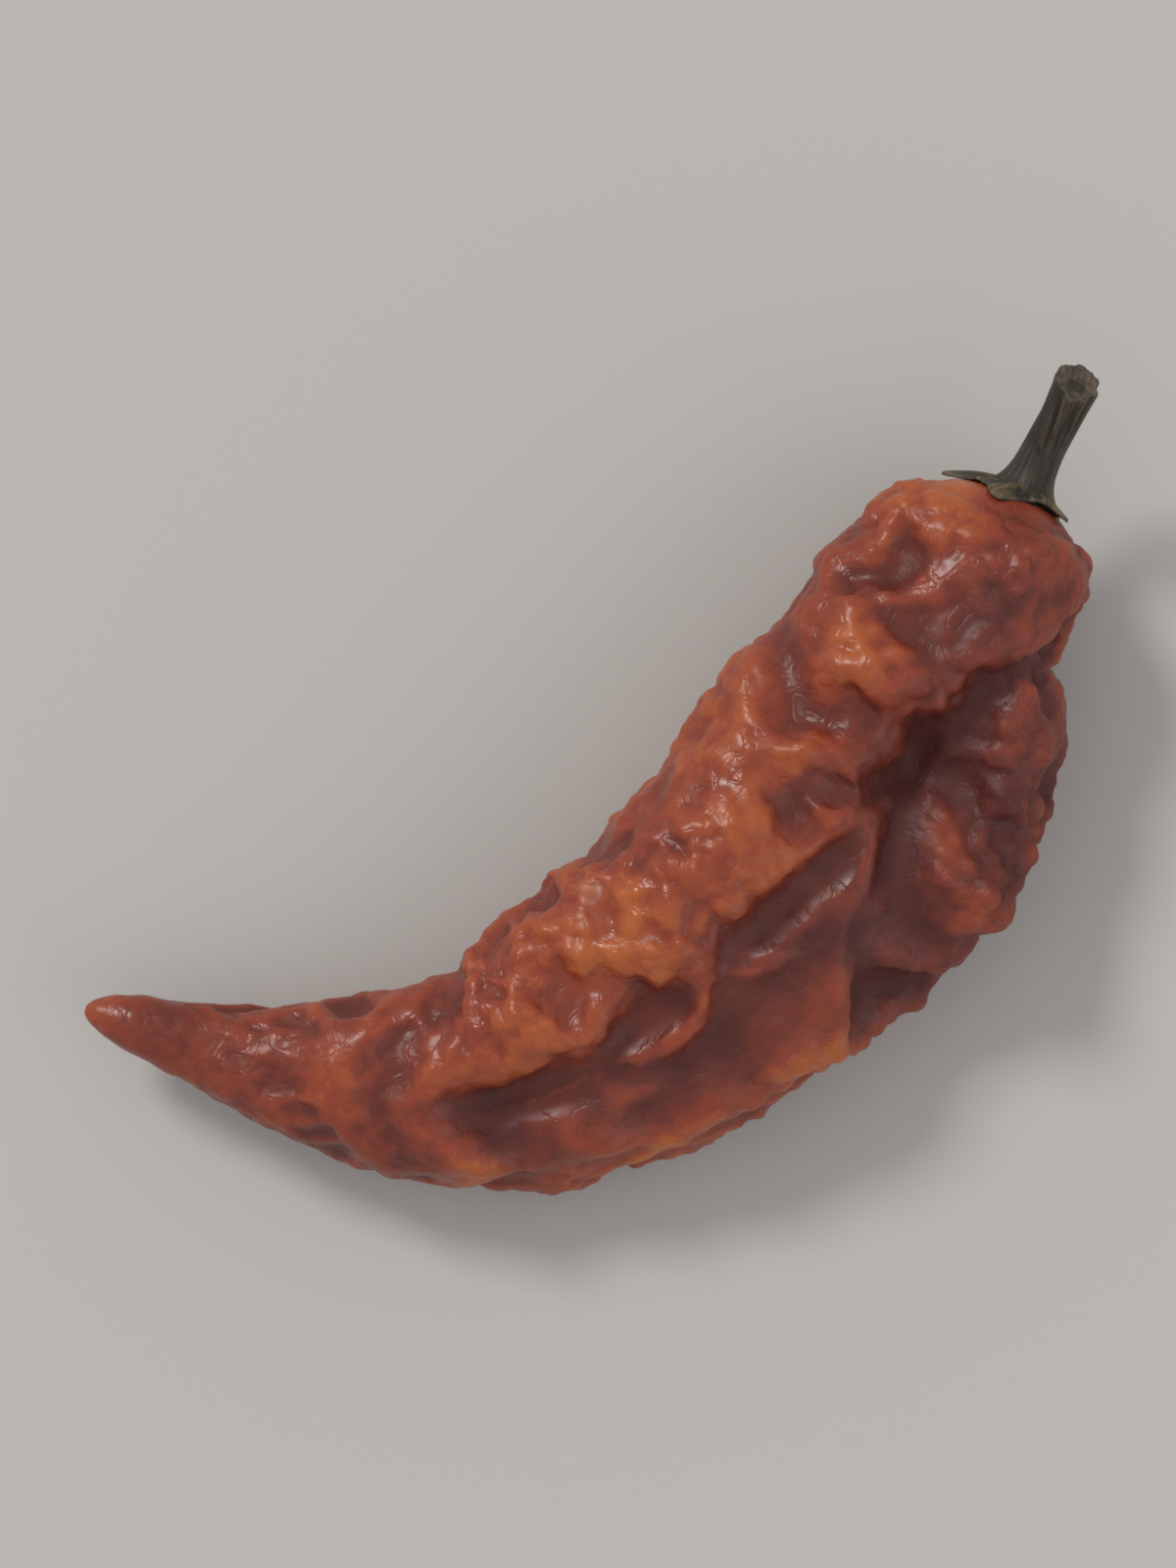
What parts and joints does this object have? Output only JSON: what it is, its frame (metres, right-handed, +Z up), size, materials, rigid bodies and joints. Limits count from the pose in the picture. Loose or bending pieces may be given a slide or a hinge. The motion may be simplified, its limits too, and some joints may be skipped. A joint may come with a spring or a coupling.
{
  "type": "dried chilli pepper",
  "caption": "Short, crumpled dried chilli pepper with its calyx and cut stem, lying on its side, for cooking, garnish or display.",
  "frame": {"origin": "on the surface that the pepper lies on, under the middle of its box", "axes": "+X along the pepper towards its stem, +Y towards the hollow side of its bend, +Z up"},
  "size_m": [0.059, 0.0232, 0.0122],
  "materials": {
    "pod_skin": "crumpled dried skin, satin, orange-red on the ridges and maroon in the folds",
    "calyx": "dry and papery, dark grey-green, matt",
    "stem": "dry and lightly furrowed, dark grey-green, matt"
  },
  "bodies": {
    "root": {"pod": "pod_skin", "calyx": "calyx", "stem": "stem"}
  },
  "joints": []
}
